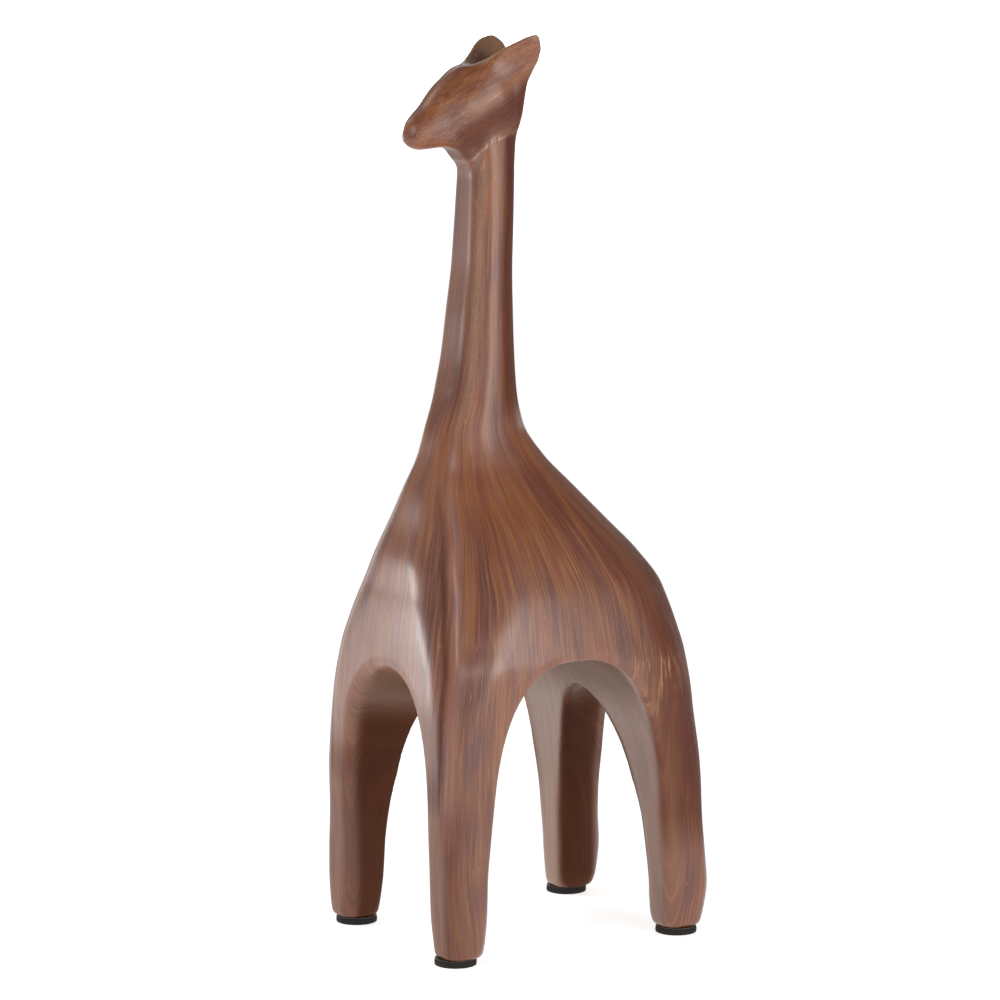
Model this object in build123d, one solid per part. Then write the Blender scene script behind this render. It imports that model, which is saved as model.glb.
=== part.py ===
"""A stylised giraffe figure: one cast and painted body on four stick-on foot pads.

The giraffe faces -Y, its left side is +X, and the origin is on the floor, midway
between the four feet.  All dimensions are in millimetres.
"""

import os
from math import cos, radians, sin

from build123d import *

# ---- foot pads -------------------------------------------------------------
PAD_DIAMETER = 19.0
PAD_THICKNESS = 3.0
PAD_EDGE_BREAK = 0.3
ADHESIVE_DIAMETER = 18.4
ADHESIVE_THICKNESS = 0.2
SOLE_HEIGHT = PAD_THICKNESS + ADHESIVE_THICKNESS

# ---- legs ------------------------------------------------------------------
HALF_WIDTH = 58.5  # outer faces of the legs, from the middle, across
HALF_LENGTH = 69.7  # outer faces of the legs, from the middle, front to back
LEG_WIDTH = 23.4
LEG_LENGTH = 22.6
FOOT_EDGE_RADIUS = 3.0
FOOT_X = HALF_WIDTH - LEG_WIDTH / 2
FOOT_Y = HALF_LENGTH - LEG_LENGTH / 2

# how far each pad sits from the middle of its leg, because it is stuck on by hand
PAD_SHIFT = {
    "front_left": (-0.8, -1.1),
    "front_right": (0.3, 0.4),
    "rear_left": (-0.4, -0.7),
    "rear_right": (-0.8, -1.2),
}
FOOT_SIDE = {
    "front_left": (1, -1),
    "front_right": (-1, -1),
    "rear_left": (1, 1),
    "rear_right": (-1, 1),
}

# ---- outer form, from the soles to the top of the neck ---------------------
# each level is a rounded rectangle:
# (height, half width, half length, y of its centre, corner radius)
LEVELS = [
    (SOLE_HEIGHT, HALF_WIDTH - 0.8, HALF_LENGTH - 0.4, 0.4, 7.5),
    (35.0, HALF_WIDTH, HALF_LENGTH, 0.0, 8.0),
    (75.0, HALF_WIDTH - 1.0, HALF_LENGTH - 0.8, -0.9, 10.0),
    (110.0, 57.6, 66.4, -1.5, 13.0),
    (145.0, 54.0, 61.0, -2.0, 18.0),
    (175.0, 44.0, 51.3, -4.2, 19.0),
    (205.0, 28.0, 35.5, -14.3, 16.0),
    (220.0, 22.0, 26.0, -18.9, 13.0),
    (235.0, 19.2, 18.8, -21.7, 11.0),
    (265.0, 17.0, 12.8, -20.4, 8.0),
    (310.0, 13.8, 10.3, -18.2, 6.0),
    (350.0, 12.0, 10.0, -16.8, 5.0),
    (388.0, 11.0, 9.0, -10.0, 5.0),
]
LOFT_STEPS = 22  # evenly spaced outlines that the skin is drawn through

# ---- arches between the legs -----------------------------------------------
# an arch's half width at height z is half_width * (1 - t**rise) ** (1 / roundness),
# where t goes from 0 at the springing to 1 at the crown; below the springing it splays
SIDE_ARCH = {"half_width": 46.8, "springing": 20.0, "crown": 134.0, "rise": 2.6, "roundness": 2.5}
MOUTH_ARCH = {"half_width": 35.2, "springing": 20.0, "crown": 128.5, "rise": 5.5, "roundness": 2.5}
BELLY_ARCH = {"half_width": 35.2, "springing": 12.0, "crown": 106.0, "rise": 1.8, "roundness": 2.8}
SIDE_ARCH_Y = -1.0
BELLY_ARCH_Y = 20.0  # the end arches are lowest this far from the side arch's middle
ARCH_SPLAY = 1.6  # each side's splay from the springing to the floor
ARCH_STEPS = 12
PAST_FACE = 30.0  # how far each cutter runs past the outer faces
SIDE_RIM_RADIUS = 3.5
GROIN_RADIUS = 4.0
MOUTH_RADIUS = 5.0

# ---- head ------------------------------------------------------------------
HEAD_TILT = 28.0  # the head's axis rises this much towards the back
# each section lies across the head's axis: (y, z, half width, half height)
HEAD_SECTIONS = [
    (-55.5, 364.2, 4.2, 4.4),
    (-53.0, 365.4, 7.4, 7.2),
    (-48.5, 367.3, 9.2, 9.2),
    (-42.0, 370.2, 10.8, 12.0),
    (-34.5, 372.4, 12.2, 17.0),
    (-24.5, 378.0, 13.4, 18.6),
    (-13.0, 384.0, 13.2, 14.6),
    (-5.0, 388.0, 10.0, 8.0),
]
EAR_ROOT = (7.5, -15.5, 386.0)
EAR_MIDDLE = (13.0, -10.0, 395.0)
EAR_TIP = (20.4, -1.6, 407.0)
EAR_ROOT_RADII = (9.0, 11.0)
EAR_MIDDLE_RADII = (5.0, 10.0)
EAR_TIP_RADII = (0.9, 2.6)


def level_slope(index, column):
    """How fast a column of LEVELS changes with height at one level; level at the soles."""
    if index == 0:
        return 0.0
    above = min(index + 1, len(LEVELS) - 1)
    rise = LEVELS[above][0] - LEVELS[index - 1][0]
    return (LEVELS[above][column] - LEVELS[index - 1][column]) / rise


def level_at(height):
    """The rounded rectangle at any height, on a smooth curve through LEVELS."""
    index = sum(level[0] <= height for level in LEVELS[1:-1])
    low, high = LEVELS[index], LEVELS[index + 1]
    span = high[0] - low[0]
    t = (height - low[0]) / span
    values = []
    for column in range(1, len(low)):
        start_slope = level_slope(index, column) * span
        end_slope = level_slope(index + 1, column) * span
        change = high[column] - low[column]
        bend = 3 * change - 2 * start_slope - end_slope
        twist = start_slope + end_slope - 2 * change
        values.append(low[column] + t * (start_slope + t * (bend + t * twist)))
    return values


def outer_form():
    """The solid bell of legs, body and neck, before the arches are cut."""
    outlines = []
    total = LEVELS[-1][0] - SOLE_HEIGHT
    for step in range(LOFT_STEPS + 1):
        height = SOLE_HEIGHT + total * step / LOFT_STEPS
        half_width, half_length, centre_y, corner = level_at(height)
        outline = RectangleRounded(2 * half_width, 2 * half_length, corner)
        outlines.append(Pos(0, centre_y, height) * outline)
    return loft(outlines)


def arch_face(half_width, springing, crown, rise, roundness):
    """The arch's opening, drawn with its width along local x and its height along local y."""
    left = []
    for step in range(ARCH_STEPS + 1):
        share = sin(radians(90 * step / ARCH_STEPS))
        width = half_width * max(0.0, 1 - share**rise) ** (1 / roundness)
        left.append((-width, springing + share * (crown - springing)))
    right = [(-x, y) for x, y in reversed(left[:-1])]
    top = Spline(left + right, tangents=[(0, 1), (0, -1)])
    sides = Polyline(
        (half_width, springing),
        (half_width + ARCH_SPLAY, 0),
        (half_width + ARCH_SPLAY, -PAST_FACE),
        (-half_width - ARCH_SPLAY, -PAST_FACE),
        (-half_width - ARCH_SPLAY, 0),
        (-half_width, springing),
    )
    return make_face(top + sides)


def side_tunnel():
    """The way through from side to side, between the front and the rear legs."""
    plane = Plane(origin=(-HALF_WIDTH - PAST_FACE, SIDE_ARCH_Y, 0), x_dir=(0, 1, 0), z_dir=(1, 0, 0))
    return extrude(plane * arch_face(**SIDE_ARCH), 2 * (HALF_WIDTH + PAST_FACE))


def end_tunnel(towards):
    """The way in from one end, between a left and a right leg, wider and higher at its mouth."""
    belly = Plane(
        origin=(0, SIDE_ARCH_Y + towards * BELLY_ARCH_Y, 0),
        x_dir=(-towards, 0, 0),
        z_dir=(0, towards, 0),
    )
    mouth = belly.offset(HALF_LENGTH + towards * -SIDE_ARCH_Y - BELLY_ARCH_Y)
    flare = loft([belly * arch_face(**BELLY_ARCH), mouth * arch_face(**MOUTH_ARCH)], ruled=True)
    return flare + extrude(mouth * arch_face(**MOUTH_ARCH), PAST_FACE)


def head():
    """The head as one tapering form along its tilted axis."""
    axis = (0, cos(radians(HEAD_TILT)), sin(radians(HEAD_TILT)))
    outlines = []
    for y, z, half_width, half_height in HEAD_SECTIONS:
        plane = Plane(origin=(0, y, z), x_dir=(1, 0, 0), z_dir=axis)
        outlines.append(plane * Ellipse(half_width, half_height))
    return loft(outlines)


def ear(side):
    """One ear, a leaf that sweeps up, back and outwards to a point."""
    root = Vector(side * EAR_ROOT[0], *EAR_ROOT[1:])
    middle = Vector(side * EAR_MIDDLE[0], *EAR_MIDDLE[1:])
    tip = Vector(side * EAR_TIP[0], *EAR_TIP[1:])
    across = Vector(side, -1, 0).normalized()
    outlines = []
    for place, radii in ((root, EAR_ROOT_RADII), (middle, EAR_MIDDLE_RADII), (tip, EAR_TIP_RADII)):
        plane = Plane(origin=place, x_dir=across, z_dir=tip - root)
        outlines.append(plane * Ellipse(*radii))
    return loft(outlines)


def standing_edges(solid, reaches):
    """The edges that climb the legs and arches, and reach only as far as asked in x and y."""
    chosen = []
    for edge in solid.edges():
        box = edge.bounding_box()
        reach_x = max(abs(box.min.X), abs(box.max.X))
        reach_y = max(abs(box.min.Y), abs(box.max.Y))
        climbs = box.size.Z > SOLE_HEIGHT and box.max.Z < SIDE_ARCH["crown"] + 1
        if climbs and reaches(reach_x, reach_y):
            chosen.append(edge)
    return chosen


def legs_and_neck():
    """The bell with its arches cut and every arch edge and foot rounded."""
    solid = outer_form() - side_tunnel() - end_tunnel(-1) - end_tunnel(1)
    inner_x = MOUTH_ARCH["half_width"] + 2 * ARCH_SPLAY
    inner_y = SIDE_ARCH["half_width"] + 2 * ARCH_SPLAY - SIDE_ARCH_Y
    side_rims = standing_edges(solid, lambda x, y: x > inner_x and y < inner_y)
    solid = solid.fillet(SIDE_RIM_RADIUS, side_rims)
    groins = standing_edges(solid, lambda x, y: x < inner_x and y < inner_y)
    solid = solid.fillet(GROIN_RADIUS, groins)
    mouths = standing_edges(solid, lambda x, y: x < inner_x and y > inner_y)
    solid = solid.fillet(MOUTH_RADIUS, mouths)
    soles = solid.faces().filter_by(Plane.XY).group_by(Axis.Z)[0]
    return solid.fillet(FOOT_EDGE_RADIUS, soles.edges())


def body():
    """The casting: legs, body, neck, head and ears in one piece."""
    return legs_and_neck() + head() + ear(1) + ear(-1)


def pad_place(foot):
    """The middle of a pad, as x and y."""
    side_x, side_y = FOOT_SIDE[foot]
    shift_x, shift_y = PAD_SHIFT[foot]
    return side_x * FOOT_X + shift_x, side_y * FOOT_Y + shift_y


def foot_pad(foot):
    """A round rubber pad with a small break on its edges."""
    x, y = pad_place(foot)
    disc = Pos(x, y, PAD_THICKNESS / 2) * Cylinder(PAD_DIAMETER / 2, PAD_THICKNESS)
    return chamfer(disc.edges().filter_by(GeomType.CIRCLE), PAD_EDGE_BREAK)


def adhesive(foot):
    """The thin adhesive film between a pad and its sole."""
    x, y = pad_place(foot)
    height = PAD_THICKNESS + ADHESIVE_THICKNESS / 2
    return Pos(x, y, height) * Cylinder(ADHESIVE_DIAMETER / 2, ADHESIVE_THICKNESS)


os.makedirs("parts", exist_ok=True)
export_step(body(), "parts/giraffe_body.step")
for foot in FOOT_SIDE:
    export_step(foot_pad(foot), f"parts/foot_pad_{foot}.step")
    export_step(adhesive(foot), f"parts/pad_adhesive_{foot}.step")
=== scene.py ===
import math

import bpy
import numpy as np
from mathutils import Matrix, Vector


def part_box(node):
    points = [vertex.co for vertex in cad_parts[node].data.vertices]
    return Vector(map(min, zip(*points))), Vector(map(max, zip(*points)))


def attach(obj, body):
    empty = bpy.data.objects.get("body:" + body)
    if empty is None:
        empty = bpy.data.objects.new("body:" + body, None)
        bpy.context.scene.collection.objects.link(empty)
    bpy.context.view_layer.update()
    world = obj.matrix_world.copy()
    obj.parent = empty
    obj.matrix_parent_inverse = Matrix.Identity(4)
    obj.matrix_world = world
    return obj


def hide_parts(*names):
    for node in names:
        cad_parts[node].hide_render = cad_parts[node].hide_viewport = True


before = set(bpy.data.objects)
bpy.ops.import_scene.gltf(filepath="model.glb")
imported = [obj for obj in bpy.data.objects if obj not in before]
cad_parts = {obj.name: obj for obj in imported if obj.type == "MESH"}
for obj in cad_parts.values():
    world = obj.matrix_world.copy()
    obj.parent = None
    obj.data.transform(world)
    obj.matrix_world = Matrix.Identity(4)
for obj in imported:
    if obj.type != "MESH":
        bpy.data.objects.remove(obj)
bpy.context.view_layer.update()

# The giraffe's form is in millimetres here, in the CAD frame: it faces -Y, its left
# side is +X, and the floor is z = 0. MM turns millimetres to metres.
#
# The body is the zero level of a signed distance function, which is negative inside.
# It is meshed on a lattice, and the vertices are then moved onto the surface.
MM = 0.001

# ---------------------------------------------------------------- dimensions

# outer form of legs, body and neck, each row a rounded rectangle:
# height, half width, half length, y of its middle, corner radius
FORM = (
    (0, 57.5, 69, 0.5, 8),
    (10, 58.5, 69.5, 0.5, 8),
    (40, 56, 69, 0, 9),
    (80, 58.5, 69, -1, 11),
    (110, 60.5, 69, -2, 17),
    (130, 61.5, 67.5, -2, 24),
    (145, 59, 66, -2, 30),
    (160, 55, 63.5, -2, 35),
    (175, 49, 58, -5, 37),
    (190, 41.5, 48.5, -9.5, 33),
    (205, 32, 39.5, -14.5, 27),
    (220, 24.5, 29.5, -19, 21.5),
    (235, 20.5, 22, -22, 18),
    (250, 19.5, 16.5, -21.5, 15),
    (265, 18.5, 14, -20.5, 13.5),
    (285, 17, 12.5, -19.5, 12),
    (310, 15.5, 11, -18, 10.5),
    (350, 13.5, 11, -16, 10),
    (365, 12.5, 11.5, -15.5, 9),
    (380, 11, 9, -13, 6.5),
    (392, 10.5, 8.5, -8.5, 5),
)
BOW = 2.6  # how far the middle of each face stands out beyond its edges
BOW_STARTS, BOW_ENDS = (60, 120), (215, 260)
NECK_TOP = 388
RIB_HEIGHT = 0.8  # of the faint rib down each front corner
RIB_TURN = 0.86  # angle round the corner at which the rib lies, in radians
RIB_STARTS, RIB_ENDS = (48, 80), (175, 225)

# lower legs: height, inner and outer x, inner and outer distance along, corner radius
LEG_FRONT = (
    (3, 37.5, 56.5, 49, 68, 7.5),
    (10, 36.5, 57.5, 48, 68.5, 7.5),
    (24, 35, 58, 47, 69, 7.5),
    (40, 34.5, 57.5, 46.5, 69, 7),
    (75, 33.5, 58, 43, 71, 8.5),
)
LEG_REAR = (
    (3, 37, 55.5, 48, 67.5, 7.5),
    (10, 35, 56.5, 47.5, 69, 7.5),
    (24, 34.5, 57.5, 47, 70.5, 7.5),
    (40, 33.5, 57.5, 46, 69, 7),
    (75, 32, 56.5, 43.5, 68, 8.5),
)
LEG_TO_ARCH = (35, 72)  # between these heights the separate legs run into the arched body
SOLE = 3.2  # height of the soles, which stand on the pads

# arches: half width at the springing, heights of springing and crown, and how the
# outline curves. The end arches flare from the groin to their mouths.
SIDE = dict(half=45.5, spring=24.5, crown=133.5, rise=3, spread=2.5)
SIDE_Y = (
    (0, 0.5),
    (60, -0.5),
    (80, -1),
    (134, -3),
)
END_GROIN = dict(half=35, spring=11.5, crown=109.5, rise=2, spread=2)
END_FRONT = dict(half=36, spring=16.5, crown=128, rise=5.5, spread=2)
END_REAR = dict(half=35.5, spring=19, crown=124.5, rise=1.6, spread=2.5)
MOUTH_Y = 69.5  # how far along the mouths of the end arches are
GROIN_LEAST = 34.0  # the end arches flare from at least this far along
EDGE = dict(side=3.5, mouth=4.5, groin_low=4, groin_high=3, foot=2.5)

# the head's own frame: distance back from the nose along an axis, and height across it
NOSE = (-58.9, 365.0)
AXIS = (0.848, 0.53)
# side outline of the head and ears
PROFILE = (
    (-1, -2.5),
    (0, 0),
    (2.5, 2.5),
    (6.5, 5),
    (15.5, 6.5),
    (23, 9),
    (30.5, 10.5),
    (38.5, 11),
    (46, 8.5),
    (53, 8.5),
    (58.5, 9),
    (63, 9),
    (68, 8.5),
    (72.5, 7),
    (73.5, 4.5),
    (73, -0.5),
    (71.5, -3),
    (69.5, -5.5),
    (65, -8.5),
    (59.5, -12),
    (55.5, -16.5),
    (50, -22),
    (43, -25.5),
    (34.5, -25),
    (26, -24.5),
    (20.5, -24),
    (17.5, -18.5),
    (12.5, -14),
    (7.5, -11.5),
    (3, -9),
    (0, -5.5),
)
BLUNT_TIP = ((63, 9), (67.5, 8), (71.5, 6), (73, 2), (72.5, -1.5))  # the right ear's tip
TIP_FROM, TIP_TO = 11, 16  # the rows of PROFILE that it takes the place of
# along the head: half width at the top edge, at the cheek, height of the cheek's widest place
WIDTHS = (
    (-2, 1, 3.5, -3),
    (1, 1.5, 5, -3.5),
    (5, 2, 6.5, -4.5),
    (12, 3, 8.5, -5.5),
    (19, 5, 10, -6),
    (26, 6.5, 12, -6.5),
    (33, 7.5, 13.5, -6.5),
    (40, 8.5, 14, -6.5),
    (46, 10, 14.5, -7),
    (52, 12, 14, -8.5),
    (58, 14.5, 13.5, -10),
    (63, 17, 13, -10.5),
    (68, 19, 13.5, -10),
    (75, 21.5, 15.5, -9),
)
WIDTHS_TOP = 8.8  # height of the top edge that WIDTHS speaks of
# the hollow between the ears: along the head, height of its floor, thickness of the wall
TROUGH = (
    (34, 11, 5),
    (40, 10.5, 4.5),
    (46, 7.5, 4),
    (52, 3, 3.5),
    (57, -1, 3),
    (61, -8, 3),
    (65, -17, 2.5),
    (70, -26, 2.5),
    (76, -30, 2.5),
)
HOLLOW_EDGE = 4.5  # radius where its floor meets its walls
HEAD_EDGE = dict(muzzle=5.5, top=4, jaw=2.5, ear=1.2, inner=1)

# the lattice on which the head's outline is stored
CELL = 0.25
LOW_S, LOW_N = -8.0, -35.0
SIZE_S, SIZE_N = 370, 230

# the lattice that the body is meshed on: height, half x, middle y, half y of its reach
SPAN = (
    (0, 63, 0, 74),
    (120, 64.5, 0, 75),
    (150, 62, 0, 72),
    (175, 54, -4, 62.5),
    (205, 37.5, -14, 47.5),
    (220, 30, -19, 42),
    (238, 25, -24.5, 38.5),
    (420, 25, -24.5, 38.5),
)
COUNT_X, COUNT_Y = 79, 93
HEAD_FROM, LATTICE_TOP = 350, 412
STEP_BODY, STEP_HEAD = 1.6, 0.8
SETTLE_ROUNDS = 4


# ---------------------------------------------------------------- helpers

def smooth_table(rows):
    """Return a function that runs smoothly through the rows, without overshoot."""
    table = np.array(rows, float)
    z, values = table[:, 0], table[:, 1:]
    gap = np.diff(z)[:, None]
    rise = np.diff(values, axis=0) / gap
    slope = np.zeros_like(values)
    one_way = rise[:-1] * rise[1:] > 0
    w1 = 2 * gap[1:] + gap[:-1]
    w2 = gap[1:] + 2 * gap[:-1]
    with np.errstate(divide="ignore", invalid="ignore"):
        mean = (w1 + w2) / (w1 / rise[:-1] + w2 / rise[1:])
    slope[1:-1] = np.where(one_way, mean, 0)
    slope[0], slope[-1] = rise[0], rise[-1]

    def at(q):
        q = np.clip(q, z[0], z[-1])
        i = np.clip(np.searchsorted(z, q, side="right") - 1, 0, len(z) - 2)
        s = ((q - z[i]) / (z[i + 1] - z[i]))[..., None]
        low = (1 + 2 * s) * (1 - s) ** 2 * values[i] + s * (1 - s) ** 2 * gap[i] * slope[i]
        high = s * s * (3 - 2 * s) * values[i + 1] + s * s * (s - 1) * gap[i] * slope[i + 1]
        curve = low + high
        return [curve[..., k] for k in range(curve.shape[-1])]

    return at


def sampled_table(rows, low, high, count=2000):
    """The same curve, sampled once so that it is quick to look up."""
    z = np.linspace(low, high, count)
    columns = smooth_table(rows)(z)
    return lambda q: [np.interp(q, z, column) for column in columns]


form_at = sampled_table(FORM, 0, 395)
front_at = sampled_table(LEG_FRONT, 3, 80)
rear_at = sampled_table(LEG_REAR, 3, 80)
side_y_at = sampled_table(SIDE_Y, 0, 134)
widths_at = sampled_table(WIDTHS, -2, 75)
trough_at = sampled_table(TROUGH, 34, 76)
span_at = sampled_table(SPAN, 0, 420)


def step(a, b, v):
    """Smooth step from 0 at a to 1 at b; it falls instead where b is below a."""
    t = np.clip((v - a) / (b - a), 0, 1)
    return t * t * (3 - 2 * t)


def bell(v, width):
    """A soft bump of height 1 around v = 0."""
    return np.exp(-(v / width) ** 2)


def round_box(px, py, hx, hy, r, power=2.1):
    """Distance to a rectangle with rounded corners."""
    qx = np.abs(px) - (hx - r)
    qy = np.abs(py) - (hy - r)
    ax, ay = np.maximum(qx, 0), np.maximum(qy, 0)
    return (ax ** power + ay ** power) ** (1 / power) + np.minimum(np.maximum(qx, qy), 0) - r


def round_max(a, b, r):
    """What two shapes share, with the edge between them rounded."""
    u, v = np.maximum(r + a, 0), np.maximum(r + b, 0)
    return np.minimum(-r, np.maximum(a, b)) + np.sqrt(u * u + v * v)


def soft_min(a, b, k):
    """Two shapes joined, with a fillet of about k between them."""
    h = np.clip(1 - np.abs(a - b) / k, 0, 1)
    return np.minimum(a, b) - h * h * k / 4


# ---------------------------------------------------------------- legs, body and neck

def round_corner(x, y, z):
    """How far round its front corner from the rib a point is, in mm, and where the rib runs."""
    a, b, c, r = form_at(z)
    turn = np.arctan2(np.maximum(c - y - (b - r), 0), np.maximum(np.abs(x) - (a - r), 1e-3))
    along = step(*RIB_STARTS, z) * (1 - step(*RIB_ENDS, z)) * (y < c)
    return (turn - RIB_TURN) * r, along


def front_rib(x, y, z):
    """A faint raised rib that runs down each front corner of the body and its leg."""
    across, along = round_corner(x, y, z)
    return RIB_HEIGHT * bell(across, 2.4 + 1.8 * step(90, 190, z)) * along


def section(x, y, z):
    """Distance to the rounded rectangle at one height, measured level, with bowed faces."""
    a, b, c, r = form_at(z)
    bow = BOW * step(*BOW_STARTS, z) * (1 - step(*BOW_ENDS, z))
    px, py = np.abs(x), np.abs(y - c)
    bowed_x = px + bow * np.minimum(py / b, 1.2) ** 2
    bowed_y = py + bow * np.minimum(px / a, 1.2) ** 2
    return round_box(bowed_x, bowed_y, a, b, r)


def outer(x, y, z, e=0.5):
    """The outer form before the arches are cut out of it."""
    level = section(x, y, z)
    slope = (section(x, y, z + e) - section(x, y, z - e)) / (2 * e)
    return level / np.sqrt(1 + slope * slope) - front_rib(x, y, z)


def arch(across, z, half, spring, crown, rise, spread):
    """Distance to an arched tunnel; negative inside the opening."""
    a = np.maximum(np.abs(across), 1e-3) / half
    h = crown - spring
    t = np.maximum(z - spring, 0) / h
    t1 = np.maximum(t, 1e-4)
    f = a ** spread + t1 ** rise - 1
    ga = spread * a ** (spread - 1) / half
    gz = rise * t1 ** (rise - 1) / h
    return f / np.maximum(np.sqrt(ga * ga + gz * gz), 0.012)


def side_void(y, z):
    """The tunnel from side to side."""
    (middle,) = side_y_at(z)
    return arch(y - middle, z, **SIDE)


def end_void(x, y, z):
    """The two tunnels from the ends, which flare from the side tunnel to their mouths."""
    t1 = np.clip((z - SIDE["spring"]) / (SIDE["crown"] - SIDE["spring"]), 0, 0.97)
    groin = SIDE["half"] * (1 - t1 ** SIDE["rise"]) ** (1 / SIDE["spread"])
    groin = np.maximum(groin, GROIN_LEAST)
    t = np.clip((np.abs(y) - groin) / (MOUTH_Y - groin), -0.2, 1.2)
    rear = step(-4, 4, y)
    flared = {}
    for key in END_GROIN:
        mouth = END_FRONT[key] + (END_REAR[key] - END_FRONT[key]) * rear
        flared[key] = END_GROIN[key] + (mouth - END_GROIN[key]) * t
    return arch(x, z, **flared)


def legs(x, y, z):
    """The four legs below the arches."""
    ix, ox, iy, oy, r = [np.where(y > 0, b, a) for a, b in zip(front_at(z), rear_at(z))]
    px, py = np.abs(x) - (ix + ox) / 2, np.abs(y) - (iy + oy) / 2
    return round_box(px, py, (ox - ix) / 2, (oy - iy) / 2, r)


def trunk(x, y, z):
    """Legs, body and neck, with the arches cut out and every edge rounded."""
    skin, side, end = outer(x, y, z), -side_void(y, z), -end_void(x, y, z)
    rims = np.maximum(round_max(skin, side, EDGE["side"]), round_max(skin, end, EDGE["mouth"]))
    groin = EDGE["groin_low"] + (EDGE["groin_high"] - EDGE["groin_low"]) * step(45, 100, z)
    arched = np.maximum(rims, round_max(side, end, groin))
    share = step(*LEG_TO_ARCH, z)
    return round_max(legs(x, y, z) * (1 - share) + arched * share, SOLE - z, EDGE["foot"])


# ---------------------------------------------------------------- head and ears

def head_frame(x, y, z):
    """Distance back along the head from the nose, and height across it."""
    dy, dz = y - NOSE[0], z - NOSE[1]
    return dy * AXIS[0] + dz * AXIS[1], -dy * AXIS[1] + dz * AXIS[0]


def closed_curve(points, parts=8):
    """Smooth closed curve through the points."""
    p = np.array(points, float)
    out = []
    for i in range(len(p)):
        a, b, c, d = p[i - 1], p[i], p[(i + 1) % len(p)], p[(i + 2) % len(p)]
        for t in np.arange(parts) / parts:
            out.append(0.5 * (2 * b + (c - a) * t + (2 * a - 5 * b + 4 * c - d) * t * t
                              + (3 * b - a - 3 * c + d) * t ** 3))
    return np.array(out)


def outline_distance(points):
    """Distance to the head's side outline, on the outline's lattice."""
    start = closed_curve(points)
    finish = np.roll(start, -1, axis=0)
    s = LOW_S + CELL * np.arange(SIZE_S)
    n = LOW_N + CELL * np.arange(SIZE_N)
    ps, pn = np.meshgrid(s, n, indexing="ij")
    best = np.full(ps.shape, 1e9)
    inside = np.zeros(ps.shape, bool)
    for (ax, ay), (bx, by) in zip(start, finish):
        ex, ey = bx - ax, by - ay
        t = np.clip(((ps - ax) * ex + (pn - ay) * ey) / max(ex * ex + ey * ey, 1e-9), 0, 1)
        best = np.minimum(best, (ps - ax - t * ex) ** 2 + (pn - ay - t * ey) ** 2)
        if ay != by:
            inside ^= ((ay > pn) != (by > pn)) & (ps < ex * (pn - ay) / ey + ax)
    return np.where(inside, -1, 1) * np.sqrt(best)


outline_grid = np.stack([
    outline_distance(PROFILE),
    outline_distance(PROFILE[:TIP_FROM] + BLUNT_TIP + PROFILE[TIP_TO:]),
])


def outline(s, n, right):
    """Distance to the side outline, which differs a little on the right side."""
    i = np.clip((s - LOW_S) / CELL, 0, SIZE_S - 1.001)
    j = np.clip((n - LOW_N) / CELL, 0, SIZE_N - 1.001)
    i0, j0 = i.astype(int), j.astype(int)
    u, v = i - i0, j - j0
    g, k = outline_grid, right.astype(int)
    d = ((g[k, i0, j0] * (1 - u) + g[k, i0 + 1, j0] * u) * (1 - v)
         + (g[k, i0, j0 + 1] * (1 - u) + g[k, i0 + 1, j0 + 1] * u) * v)
    past = np.hypot(s - (LOW_S + CELL * i), n - (LOW_N + CELL * j))
    return d + past


def head_width(s, n):
    """Half width of the head: widest at the cheek, narrower to the top edge and the jaw."""
    rim, cheek, level = widths_at(s)
    t = np.clip((n - level) / (WIDTHS_TOP - level), 0, 1.3)
    upper = cheek + (rim - cheek) * t ** 1.7
    lower = np.clip((level - n) / 22.0, 0, 1.2)
    return np.where(n > level, upper, cheek * (1 - 0.08 * lower ** 2))


def head(x, y, z, e=0.4):
    """The head and both ears, with the hollow between them."""
    s, n = head_frame(x, y, z)
    ax = np.abs(x)
    ws = (head_width(s + e, n) - head_width(s - e, n)) / (2 * e)
    wn = (head_width(s, n + e) - head_width(s, n - e)) / (2 * e)
    side = (ax - head_width(s, n)) / np.sqrt(1 + ws * ws + wn * wn)
    crown = 0.02 * x * x * (1 - step(30, 45, s))
    rim = outline(s, n + crown * (n > 0), x < 0)
    r = HEAD_EDGE["muzzle"] + (HEAD_EDGE["jaw"] - HEAD_EDGE["muzzle"]) * step(10, 28, s)
    r = r + (HEAD_EDGE["top"] - r) * step(-4, 3, n) * step(2, 14, s)
    r = r + (HEAD_EDGE["ear"] - r) * step(44, 60, s) * step(-16, -8, n)
    solid = round_max(side, rim, r)
    ground, wall = trough_at(s)
    across = side + wall * (0.62 + 0.38 * step(6.5, -4.0, n))
    hollow = round_max(across, (ground + 0.05 * x * x - n) * 0.8, HOLLOW_EDGE)
    return round_max(solid, -hollow, HEAD_EDGE["inner"])


def body(x, y, z):
    """The whole casting."""
    f = trunk(x, y, z)
    high = z > 340
    if high.any():
        x, y, z = x[high], y[high], z[high]
        neck = round_max(outer(x, y, z), z - NECK_TOP, 5)
        throat = step(-20, -26, y) * (1 - step(7.5, 11.0, np.abs(x)))
        fillet = 1.1 + 9.0 * throat + 5.0 * step(-14, -6, y)
        f[high] = soft_min(neck, head(x, y, z), fillet)
    return f


# ---------------------------------------------------------------- meshing the body

def lattice():
    """Points that follow the body's width and depth at every height."""
    z = np.concatenate([np.arange(1.0, HEAD_FROM, STEP_BODY),
                        np.arange(HEAD_FROM, LATTICE_TOP, STEP_HEAD)])
    half_x, middle_y, half_y = span_at(z)
    u = np.linspace(-1, 1, COUNT_X)[:, None, None]
    v = np.linspace(-1, 1, COUNT_Y)[None, :, None]
    x = u * half_x + 0 * v
    y = middle_y + v * half_y + 0 * u
    return x, y, z + 0 * x


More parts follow.
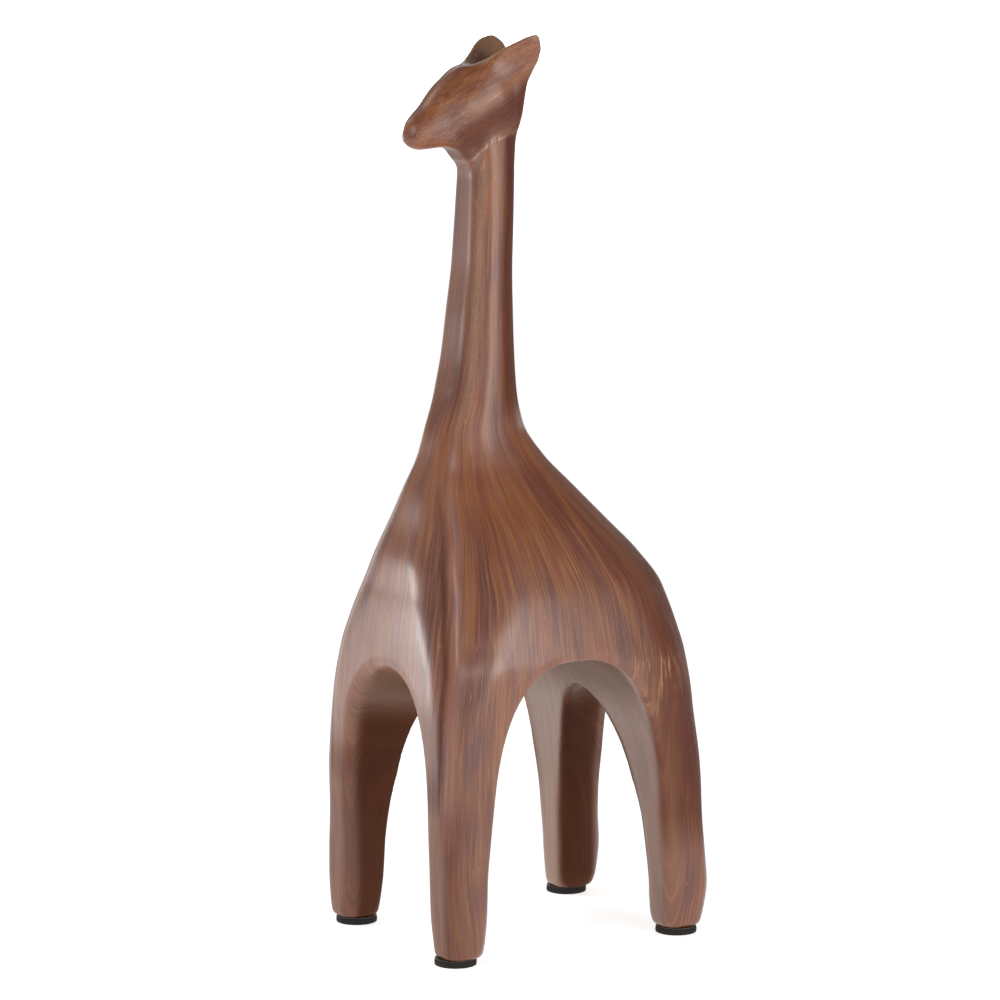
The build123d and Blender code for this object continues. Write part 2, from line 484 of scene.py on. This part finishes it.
def surface_net(x, y, z, f):
    """Vertices and four-sided faces where f changes sign: one vertex in each cell it crosses."""
    place = np.stack([x, y, z], -1)
    cells = tuple(np.array(f.shape) - 1)
    total = np.zeros(cells + (3,))
    count = np.zeros(cells)
    inside = f < 0
    faces = []
    for axis in range(3):
        a, b = [slice(None)] * 3, [slice(None)] * 3
        a[axis], b[axis] = slice(0, -1), slice(1, None)
        a, b = tuple(a), tuple(b)
        crossed = inside[a] != inside[b]
        index = np.argwhere(crossed)
        fa, fb = f[a][crossed], f[b][crossed]
        t = (fa / (fa - fb))[:, None]
        point = place[a][crossed] * (1 - t) + place[b][crossed] * t
        side_1, side_2 = [(1, 2), (2, 0), (0, 1)][axis]
        corners = []
        whole = np.ones(len(index), bool)
        for d1, d2 in ((0, 0), (-1, 0), (-1, -1), (0, -1)):
            cell = index.copy()
            cell[:, side_1] += d1
            cell[:, side_2] += d2
            good = ((cell >= 0) & (cell < np.array(cells))).all(1)
            whole &= good
            flat = np.ravel_multi_index(cell[good].T, cells)
            for k in range(3):
                added = np.bincount(flat, point[good, k], count.size)
                total[..., k] += added.reshape(cells)
            count += np.bincount(flat, minlength=count.size).reshape(cells)
            corners.append(np.ravel_multi_index(np.clip(cell, 0, np.array(cells) - 1).T, cells))
        quads = np.stack(corners, 1)[whole]
        outward = inside[a][crossed][whole]
        quads[~outward] = quads[~outward][:, ::-1]
        faces.append(quads)
    used = np.flatnonzero(count.ravel())
    number = np.full(count.size, -1)
    number[used] = np.arange(len(used))
    verts = total.reshape(-1, 3)[used] / count.ravel()[used][:, None]
    return verts, number[np.concatenate(faces)]


def gradient(p, e=0.05):
    """The direction in which the body's distance grows."""
    x, y, z = p[:, 0], p[:, 1], p[:, 2]
    return np.stack([body(x + e, y, z) - body(x - e, y, z),
                     body(x, y + e, z) - body(x, y - e, z),
                     body(x, y, z + e) - body(x, y, z - e)], 1) / (2 * e)


def settle(verts):
    """Move the vertices onto the body's surface."""
    v = verts.copy()
    for _ in range(SETTLE_ROUNDS):
        distance = body(v[:, 0], v[:, 1], v[:, 2])
        slope = gradient(v)
        steepness = np.maximum((slope * slope).sum(1), 0.2)
        move = -(distance / steepness)[:, None] * slope
        size = np.linalg.norm(move, axis=1, keepdims=True)
        v += move * np.minimum(1, 0.8 / np.maximum(size, 1e-9))
    return v


def add_mesh(name, verts, faces, smooth=True):
    """Make a mesh object from millimetre vertices and face indices."""
    mesh = bpy.data.meshes.new(name)
    mesh.from_pydata((np.asarray(verts) * MM).tolist(), [], [list(map(int, f)) for f in faces])
    mesh.validate()
    mesh.polygons.foreach_set("use_smooth", [smooth] * len(mesh.polygons))
    mesh.update()
    obj = bpy.data.objects.new(name, mesh)
    bpy.context.scene.collection.objects.link(obj)
    return obj


def add_floats(obj, name, values):
    """Store one number for each vertex."""
    layer = obj.data.attributes.new(name, "FLOAT", "POINT")
    layer.data.foreach_set("value", np.asarray(values, np.float32))


def add_vectors(obj, name, *columns):
    """Store one vector for each vertex."""
    layer = obj.data.attributes.new(name, "FLOAT_VECTOR", "POINT")
    layer.data.foreach_set("vector", np.stack(columns, 1).astype(np.float32).ravel())


# ---------------------------------------------------------------- guides for the paint

RIM_FADE = 3.2  # how far the worn edge of an arch reaches
NO_ARCH = -50  # stands for "far from any arch", above the arches


def paint_guides(obj, v):
    """Store where the brush strokes run, and which part of the body each vertex is on."""
    x, y, z = v[:, 0], v[:, 1], v[:, 2]
    a, b, c, _ = form_at(z)
    back = (y - c) / b
    s, n = head_frame(x, y, z)
    skin = outer(x, y, z)
    face = np.full(len(v), 50.0)
    high = z > 335
    face[high] = head(x[high], y[high], z[high])
    on_head = step(-1.5, 2.5, skin - face)
    upper = step(225, 250, z)
    low = z < 140
    side = np.where(low, -side_void(y, z), NO_ARCH)
    end = np.where(low, -end_void(x, y, z), NO_ARCH)

    # strokes run up the body at a steady angle round it, and back along the head
    turn = np.arctan2(back, x / a)
    add_vectors(obj, "flow", np.cos(turn), np.sin(turn), z)
    add_vectors(obj, "flow_head", x, n, s)
    add_floats(obj, "on_head", on_head)
    add_floats(obj, "on_neck", step(180, 240, z))

    # surfaces within the arches: painted shade in the end arches, painted light on the legs'
    # faces in the side arch, and painted floor light, a greyer taupe, under the crowns
    under = np.where(low, step(1.5, 9.0, -skin), 0)
    crown = step(92, 122, z)
    inner = step(-6, -1.5, end)
    add_floats(obj, "inside", under * (1 - crown) * inner)
    add_floats(obj, "soffit", under * crown)
    add_floats(obj, "pale", under * (1 - crown) * (1 - inner) * np.where(x < 0, 1.0, 0.35))

    # painted shade, darker and duller: beside the ribs, under the jaw, up the back of the neck,
    # on the rear quarters and down the front faces of the front legs
    across, along = round_corner(x, y, z)
    open_skin = along * (1 - under)
    front = step(-0.7, -0.95, back)
    darker = (
        on_head * step(-5, -13, n) * step(10, 22, s),
        np.maximum(1.2 * step(-0.15, 0.35, back), 0.55 * front) * upper * (1 - on_head),
        step(15, 50, y) * step(25, 60, z) * (1 - step(150, 200, z)) * (1 - under),
        0.6 * front * (1 - step(60, 115, z)),
        bell(across - 6.5, 2.2) * open_skin,
    )
    add_floats(obj, "painted_shade", np.max(darker, axis=0))
    # painted highlight along the top of each rib
    add_floats(obj, "rib", bell(across, 3.2) * open_skin)

    # inner faces and tips of the ears
    within = step(-0.8, -2.0, np.abs(x) - head_width(s, n))
    ear = on_head * within * step(42, 50, s) * step(-12, -5, n)
    add_floats(obj, "ear", np.maximum(ear, on_head * step(68, 72, s) * step(3, 6, n)))

    # small marks: a pale line in the crease under the head, worn arch rims, a scuff on the left
    # rear leg, and rough pale specks down each front corner of the neck, partly a painted
    # highlight
    seam = bell(skin - face, 0.5) * step(6, 9, np.abs(x)) * step(-12, -17, y)
    add_floats(obj, "seam", seam * step(-30, -26, y) * (z > 335))
    rims = [np.exp(-np.sqrt(skin ** 2 + np.minimum(void, 0) ** 2) / RIM_FADE)
            for void in (side, end)]
    add_floats(obj, "rim", np.where(low, np.maximum(*rims), 0))
    scuff = np.exp(-((y - 37) / 13) ** 2 - ((z - 124) / 17) ** 2)
    add_floats(obj, "scuff", scuff * (x > 0) * (1 - under))
    corner = step(0.55, 0.85, np.abs(x) / a) * step(-0.5, -0.85, back)
    add_floats(obj, "corner", corner * upper * (1 - step(352, 362, z)))


lattice_x, lattice_y, lattice_z = lattice()
distances = body(lattice_x.ravel(), lattice_y.ravel(), lattice_z.ravel()).reshape(lattice_x.shape)
body_verts, body_faces = surface_net(lattice_x, lattice_y, lattice_z, distances)
body_verts = settle(body_verts)
giraffe = add_mesh("giraffe_painted_body", body_verts, body_faces)
paint_guides(giraffe, body_verts)
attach(giraffe, "root")
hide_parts("giraffe_body")


# ---------------------------------------------------------------- materials

def srgb(r, g, b):
    """A colour given in the usual 0-255 numbers, as a linear one."""
    out = []
    for v in (r, g, b):
        c = v / 255
        out.append(c / 12.92 if c <= 0.04045 else ((c + 0.055) / 1.055) ** 2.4)
    return tuple(out) + (1.0,)


class Wires:
    """Small helper that adds shader nodes and joins them."""

    def __init__(self, name):
        self.mat = bpy.data.materials.new(name)
        self.mat.use_nodes = True
        self.tree = self.mat.node_tree
        self.tree.nodes.clear()
        self.out = self.tree.nodes.new("ShaderNodeOutputMaterial")
        self.bsdf = self.tree.nodes.new("ShaderNodeBsdfPrincipled")
        self.tree.links.new(self.bsdf.outputs[0], self.out.inputs[0])

    def join(self, source, socket):
        """Set a socket to a number or a colour, or link a node's output to it."""
        if isinstance(source, (int, float)):
            socket.default_value = source
        elif isinstance(source, tuple):
            socket.default_value = source[:len(socket.default_value)]
        else:
            self.tree.links.new(source, socket)

    def shade(self, **sources):
        """Join each source to the shader's input of that name."""
        for name, source in sources.items():
            self.join(source, self.bsdf.inputs[name.replace("_", " ")])

    def attribute(self, name, output="Fac"):
        n = self.tree.nodes.new("ShaderNodeAttribute")
        n.attribute_name = name
        return n.outputs[output]

    def position(self):
        return self.tree.nodes.new("ShaderNodeTexCoord").outputs["Object"]

    def scaled(self, vector, factors, shift=(0.0, 0.0, 0.0)):
        n = self.tree.nodes.new("ShaderNodeVectorMath")
        n.operation = "MULTIPLY_ADD"
        self.join(vector, n.inputs[0])
        n.inputs[1].default_value = factors
        n.inputs[2].default_value = shift
        return n.outputs[0]

    def noise(self, vector, scale=1.0, detail=2.0, rough=0.5, bend=0.0):
        n = self.tree.nodes.new("ShaderNodeTexNoise")
        self.join(vector, n.inputs["Vector"])
        n.inputs["Scale"].default_value = scale
        n.inputs["Detail"].default_value = detail
        n.inputs["Roughness"].default_value = rough
        n.inputs["Distortion"].default_value = bend
        return n.outputs["Fac"]

    def math(self, kind, a, b=0.0, c=0.0):
        n = self.tree.nodes.new("ShaderNodeMath")
        n.operation = kind
        self.join(a, n.inputs[0])
        self.join(b, n.inputs[1])
        self.join(c, n.inputs[2])
        return n.outputs[0]

    def times(self, a, b):
        return self.math("MULTIPLY", a, b)

    def most(self, a, b):
        return self.math("MAXIMUM", a, b)

    def span(self, value, low, high, to_low=0.0, to_high=1.0):
        """Carry a value smoothly from one range to another."""
        n = self.tree.nodes.new("ShaderNodeMapRange")
        n.interpolation_type = "SMOOTHSTEP"
        self.join(value, n.inputs["Value"])
        n.inputs["From Min"].default_value = low
        n.inputs["From Max"].default_value = high
        n.inputs["To Min"].default_value = to_low
        n.inputs["To Max"].default_value = to_high
        return n.outputs["Result"]

    def mix(self, factor, a, b):
        n = self.tree.nodes.new("ShaderNodeMix")
        n.data_type = "RGBA"
        self.join(factor, n.inputs[0])
        self.join(a, n.inputs[6])
        self.join(b, n.inputs[7])
        return n.outputs[2]

    def ramp(self, value, stops):
        n = self.tree.nodes.new("ShaderNodeValToRGB")
        self.join(value, n.inputs[0])
        points = n.color_ramp.elements
        while len(points) < len(stops):
            points.new(0.5)
        for point, (place, colour) in zip(points, stops):
            point.position = place
            point.color = colour
        return n.outputs[0]

    def bump(self, height, distance, strength=1.0, normal=None):
        n = self.tree.nodes.new("ShaderNodeBump")
        n.inputs["Strength"].default_value = strength
        n.inputs["Distance"].default_value = distance
        self.join(height, n.inputs["Height"])
        if normal is not None:
            self.join(normal, n.inputs["Normal"])
        return n.outputs[0]


GUIDES = ("on_head", "on_neck", "inside", "soffit", "pale", "painted_shade", "rib", "ear", "seam",
          "rim", "scuff", "corner")
BODY_REACH, NECK_REACH = 72, 17  # mm for one unit of the flow vector, round the body and neck
BASE_COLOURS = (
    (0.34, srgb(92, 45, 27)), (0.44, srgb(110, 56, 29)), (0.52, srgb(126, 73, 32)),
    (0.60, srgb(117, 60, 34)), (0.70, srgb(98, 46, 31)),
)


def painted_casting():
    """Satin hand-painted casting: long brushed streaks that follow the form."""
    w = Wires("painted_casting")
    flow = w.attribute("flow", "Vector")
    flow_head = w.attribute("flow_head", "Vector")
    on = {name: w.attribute(name) for name in GUIDES}

    def streaks(width, length, detail=2.0, rough=0.5, bend=0.0, seed=0.0):
        """Noise drawn out along the form: streaks of this width and length in mm."""
        shift = (seed, seed * 1.7, seed * 0.6)

        def drawn(vector, reach):
            factors = (reach / width, reach / width, 1 / length)
            return w.noise(w.scaled(vector, factors, shift), 1, detail, rough, bend)

        on_body = w.mix(on["on_neck"], drawn(flow, BODY_REACH), drawn(flow, NECK_REACH))
        return w.mix(on["on_head"], on_body, drawn(flow_head, 1))

    patches = streaks(15, 90, 2.0, 0.5, 0.3, 3.1)
    warm = streaks(11, 55, 2.0, 0.5, 0.4, 11.4)
    bands = streaks(3.6, 70, 2.0, 0.55, 0.2, 7.7)
    lines = streaks(1.2, 40, 2.0, 0.6, 0.0, 21.3)
    hairs = streaks(0.6, 24, 1.0, 0.6, 0.0, 35.9)
    dashes = streaks(1.3, 9, 1.0, 0.5, 0.2, 47.2)
    plain = w.noise(w.scaled(flow, (6.0, 6.0, 0.05)), 1, 3.0, 0.5)
    specks = w.noise(w.scaled(flow, (40, 40, 1.6), (5, 2, 8)), 1, 2.0, 0.6)

    def cover(mask, strength, tint):
        """Lay a tint over the colour so far, where the mask is."""
        return w.mix(w.times(mask, strength), colour, tint)

    # the body's own colours, then lighter and darker strokes over them, broad ones first
    colour = w.ramp(patches, BASE_COLOURS)
    strokes = (  # noise, where the stroke starts and where it is full, its strength, its tint
        (warm, 0.54, 0.70, 0.5, srgb(122, 70, 54)),
        (warm, 0.46, 0.30, 0.5, srgb(84, 39, 29)),
        (bands, 0.52, 0.72, 0.28, srgb(136, 82, 48)),
        (bands, 0.48, 0.30, 0.3, srgb(76, 36, 26)),
        (lines, 0.52, 0.72, 0.3, srgb(150, 96, 60)),
        (lines, 0.48, 0.28, 0.34, srgb(60, 28, 20)),
        (hairs, 0.52, 0.74, 0.34, srgb(164, 112, 78)),
        (hairs, 0.48, 0.28, 0.28, srgb(58, 28, 20)),
    )
    for noise, start, full, strength, tint in strokes:
        colour = w.mix(w.span(noise, start, full, 0.0, strength), colour, tint)
    flecks = w.times(w.span(dashes, 0.70, 0.77), w.span(warm, 0.42, 0.6, 0.2, 1.0))
    colour = cover(flecks, 0.5, srgb(180, 128, 86))

    # colours laid over parts of the body: painted shade, painted highlights and painted light,
    # the ears' tan and a pale line in the crease under the head
    # painted shade under the jaw, up the back of the neck, on the rear quarters, low on the front
    # legs and beside the ribs
    colour = cover(on["painted_shade"], 0.62, srgb(66, 28, 23))
    # painted highlight along each rib
    colour = cover(on["rib"], 0.35, srgb(160, 112, 96))
    colour = cover(on["ear"], 0.72, w.mix(plain, srgb(128, 92, 64), srgb(160, 122, 92)))
    # a pale line along the crease under the head
    crease_line = w.times(on["seam"], w.span(dashes, 0.45, 0.6, 0.1, 0.7))
    colour = w.mix(crease_line, colour, srgb(178, 154, 138))
    # painted light on the legs' faces in the side arch, painted floor light under the crowns and
    # painted shade in the end arches
    colour = cover(on["pale"], 0.8, w.mix(plain, srgb(114, 80, 58), srgb(138, 104, 80)))
    colour = cover(on["soffit"], 0.9, w.mix(plain, srgb(96, 70, 54), srgb(114, 86, 69)))
    colour = cover(on["inside"], 0.92, w.mix(plain, srgb(52, 25, 15), srgb(78, 42, 26)))

    # wear, and rough pale specks on the neck's front corners, partly a painted highlight
    colour = cover(on["rim"], 0.55, srgb(112, 64, 44))
    tan = w.times(on["scuff"], w.times(w.span(dashes, 0.5, 0.68), w.span(hairs, 0.38, 0.6)))
    colour = cover(tan, 0.75, srgb(168, 120, 80))
    worn = w.times(on["rim"], w.span(bands, 0.42, 0.6, 0.2, 1.0))
    colour = cover(worn, 0.45, srgb(160, 116, 88))
    # rough dry-brushed specks on the neck's front corners, painted pale partly as the highlight
    # that each corner catches
    dry_paint_and_sheen = w.times(on["corner"], w.span(specks, 0.4, 0.66, 0.35, 1.0))
    colour = cover(dry_paint_and_sheen, 0.5, srgb(176, 152, 134))

    # the sheltered and the darker parts are duller
    matt = w.most(on["inside"], w.times(w.most(on["soffit"], on["painted_shade"]), 0.7))
    matt = w.most(matt, w.times(on["on_neck"], 0.3))
    gloss = w.span(lines, 0.35, 0.68, 0.38, 0.50)
    ridges = w.bump(bands, 0.0006, 0.25)
    ridges = w.bump(lines, 0.0005, 0.35, ridges)
    ridges = w.bump(hairs, 0.0002, 0.4, ridges)
    ridges = w.bump(dry_paint_and_sheen, 0.0003, 0.6, ridges)
    w.shade(
        Base_Color=colour,
        Roughness=w.math("MULTIPLY_ADD", matt, 0.3, gloss),
        Specular_IOR_Level=w.span(matt, 0, 1, 0.5, 0.12),
        Coat_Weight=w.span(matt, 0, 1, 0.6, 0.0),
        IOR=1.5,
        Coat_Roughness=0.25,
        Normal=ridges,
    )
    return w.mat


def pad_rubber():
    """Matte black rubber with a faint grain."""
    w = Wires("pad_rubber")
    place = w.position()
    grain = w.noise(place, 2600.0, 2.0, 0.6)
    colour = w.mix(w.noise(place, 160.0, 3.0, 0.55), srgb(24, 22, 22), srgb(40, 36, 35))
    w.shade(
        Base_Color=w.mix(w.span(grain, 0.55, 0.75, 0.0, 0.5), colour, srgb(66, 60, 58)),
        Roughness=w.span(grain, 0.3, 0.7, 0.75, 0.95),
        Specular_IOR_Level=0.3,
        Normal=w.bump(grain, 0.0002, 0.6),
    )
    return w.mat


def adhesive_film():
    """Thin cloudy film between a pad and its sole."""
    w = Wires("adhesive_film")
    cloud = w.noise(w.position(), 420.0, 3.0, 0.6)
    w.shade(
        Base_Color=w.mix(cloud, srgb(58, 50, 44), srgb(92, 82, 72)),
        Roughness=w.span(cloud, 0.3, 0.7, 0.25, 0.45),
        Normal=w.bump(cloud, 0.0001, 0.3),
    )
    return w.mat


def pale_floor():
    """White studio floor, which glows a little so that it stays white to its far edge."""
    w = Wires("pale_floor")
    place = w.position()
    cloud = w.noise(place, 3.0, 3.0, 0.5)
    w.shade(
        Base_Color=w.mix(cloud, srgb(243, 242, 241), srgb(247, 246, 245)),
        Roughness=0.85,
        Emission_Color=(1.0, 1.0, 1.0, 1.0),
        Emission_Strength=0.66,
        Normal=w.bump(w.noise(place, 240.0, 2.0, 0.5), 0.0002, 0.1),
    )
    return w.mat


giraffe.data.materials.append(painted_casting())
pad_finish = pad_rubber()
film_finish = adhesive_film()

# ---------------------------------------------------------------- the feet

CORNERS = ("front_left", "front_right", "rear_left", "rear_right")
PAD_TURNS = 96
PAD_WAVE = 0.006  # share of the radius by which the rim is not quite round
# share of the radius, share of the height: a soft disc, pressed a little by the weight
PAD_PROFILE = (
    (0.5, 0.0), (0.85, 0.0), (0.955, 0.0), (0.985, 0.05), (0.997, 0.16), (1.0, 0.36),
    (0.998, 0.6), (0.99, 0.8), (0.975, 0.93), (0.945, 1.0), (0.85, 1.0), (0.5, 1.0),
)


def make_pad(place):
    """The round rubber pad under one foot, where the frame has it."""
    low, high = (np.array(corner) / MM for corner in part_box("foot_pad_" + place))
    middle = (low + high) / 2
    radius = (high[0] - low[0]) / 2
    height = high[2] - low[2]
    verts, faces = [], []
    for share, level in PAD_PROFILE:
        for k in range(PAD_TURNS):
            turn = 2 * math.pi * k / PAD_TURNS
            wave = PAD_WAVE * (0.5 + 0.5 * math.sin(5 * turn + middle[0])) * (share > 0.9)
            reach = radius * share * (1 - wave)
            verts.append((middle[0] + reach * math.cos(turn), middle[1] + reach * math.sin(turn),
                          low[2] + height * level))
    for i in range(len(PAD_PROFILE) - 1):
        here, above = i * PAD_TURNS, (i + 1) * PAD_TURNS
        for k in range(PAD_TURNS):
            n = (k + 1) % PAD_TURNS
            faces.append((here + k, here + n, above + n, above + k))
    for ring, level, upwards in ((0, low[2], False), (len(PAD_PROFILE) - 1, high[2], True)):
        centre = len(verts)
        verts.append((middle[0], middle[1], level))
        for k in range(PAD_TURNS):
            a, b = ring * PAD_TURNS + k, ring * PAD_TURNS + (k + 1) % PAD_TURNS
            faces.append((a, b, centre) if upwards else (b, a, centre))
    pad = add_mesh("rubber_pad_" + place, verts, faces)
    pad.data.materials.append(pad_finish)
    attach(pad, "root")
    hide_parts("foot_pad_" + place)


for place in CORNERS:
    make_pad(place)
    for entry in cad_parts["pad_adhesive_" + place].material_slots:
        entry.material = film_finish

# ---------------------------------------------------------------- the studio

EYE = Vector((1.6645, -1.0158, 0.4844))
SIGHT = Vector((-0.8461, 0.5120, -0.1451))
RIGHT = Vector((0.5210, 0.8535, 0.0))  # the camera's right, level
AWAY = Vector((-0.8535, 0.5210, 0.0))  # away from the camera, level
UP = Vector((0.0, 0.0, 1.0))
FLOOR_HALF = 30000  # mm

lens = bpy.data.cameras.new("camera")
lens.sensor_width = 36.0
lens.lens = 156.15
lens.clip_start = 0.05
lens.clip_end = 100.0
camera = bpy.data.objects.new("camera", lens)
camera.location = EYE
camera.rotation_euler = SIGHT.to_track_quat("-Z", "Y").to_euler()
bpy.context.scene.collection.objects.link(camera)
bpy.context.scene.camera = camera

floor_corners = [(sx * FLOOR_HALF, sy * FLOOR_HALF, 0)
                 for sx, sy in ((-1, -1), (1, -1), (1, 1), (-1, 1))]
floor = add_mesh("floor", floor_corners, [(0, 1, 2, 3)], smooth=False)
floor.data.materials.append(pale_floor())


def softbox(name, right, away, up, width, height, watts, target=(0.0, 0.0, 0.2)):
    """A large soft light, placed to the camera's right, away from it and up, in metres."""
    light = bpy.data.lights.new(name, "AREA")
    light.shape = "RECTANGLE"
    light.size = width
    light.size_y = height
    light.energy = watts
    lamp = bpy.data.objects.new(name, light)
    lamp.location = RIGHT * right + AWAY * away + UP * up
    lamp.rotation_euler = (Vector(target) - lamp.location).to_track_quat("-Z", "Y").to_euler()
    bpy.context.scene.collection.objects.link(lamp)


softbox("key_left", -1.16, 0.24, 0.18, 0.34, 0.28, 3.4)
softbox("ridge_left", -0.75, -1.0, 0.85, 0.35, 0.35, 2.5)
softbox("fill_right", 1.0, -1.1, 0.48, 0.9, 0.66, 11)
softbox("fill_front", 0.05, -1.9, 0.75, 0.9, 0.5, 5)
softbox("top_left", -0.85, 0.1, 1.1, 0.6, 0.6, 4)
softbox("rim_right", 1.1, 1.05, 0.2, 0.3, 0.35, 0.7)
softbox("background", 0.0, 9.0, 5.0, 7.0, 7.0, 500, target=(-9.0, 5.5, 0.0))

world = bpy.data.worlds.new("studio")
world.use_nodes = True
sky = world.node_tree.nodes["Background"]
sky.inputs["Color"].default_value = (1.0, 1.0, 1.0, 1.0)
sky.inputs["Strength"].default_value = 0.17
bpy.context.scene.world = world
bpy.context.scene.view_settings.view_transform = "Standard"
bpy.context.scene.view_settings.look = "None"
bpy.context.scene.view_settings.exposure = 0.0

bpy.context.view_layer.update()


def plain(box):
    """A box as plain numbers."""
    return [[float(v) for v in corner] for corner in box]
